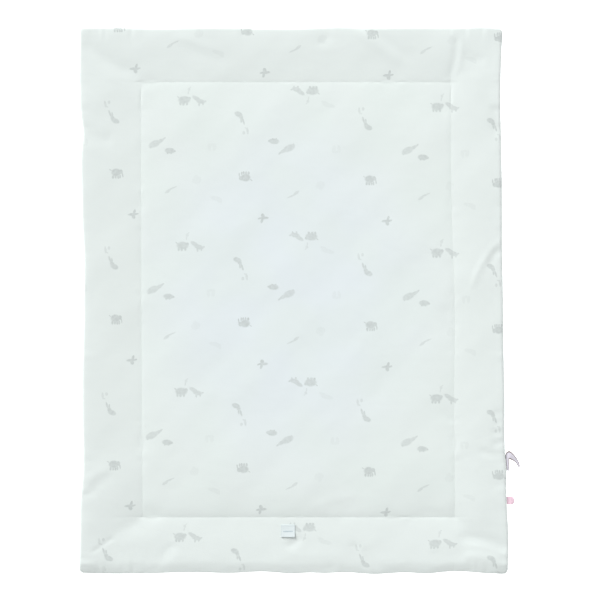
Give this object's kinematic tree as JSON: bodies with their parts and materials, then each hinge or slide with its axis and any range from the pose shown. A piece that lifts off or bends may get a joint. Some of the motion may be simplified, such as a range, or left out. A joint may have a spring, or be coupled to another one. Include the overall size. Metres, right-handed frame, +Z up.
{
  "type": "cradle blanket",
  "caption": "Flat padded cradle blanket in printed cotton with a sewn frame seam, a small woven label, a satin tag and a ribbon loop.",
  "frame": {"origin": "middle of the whole part's footprint, on the floor it lies on", "axes": "+X across the quilt towards the side with the satin tag and the ribbon loop, +Y along it towards its head, +Z up from the floor"},
  "size_m": [0.7842, 0.973, 0.0172],
  "materials": {
    "printed_cotton": "soft printed cotton, pale cool white with small grey motifs",
    "label_weave": "flat woven tape, bluish white",
    "tag_satin": "thin satin, lilac white",
    "loop_tape": "soft ribbon, pink"
  },
  "bodies": {
    "root": {"quilt_pad": "printed_cotton", "front_label": "label_weave", "side_tag": "tag_satin", "pink_loop": "loop_tape"}
  },
  "joints": []
}
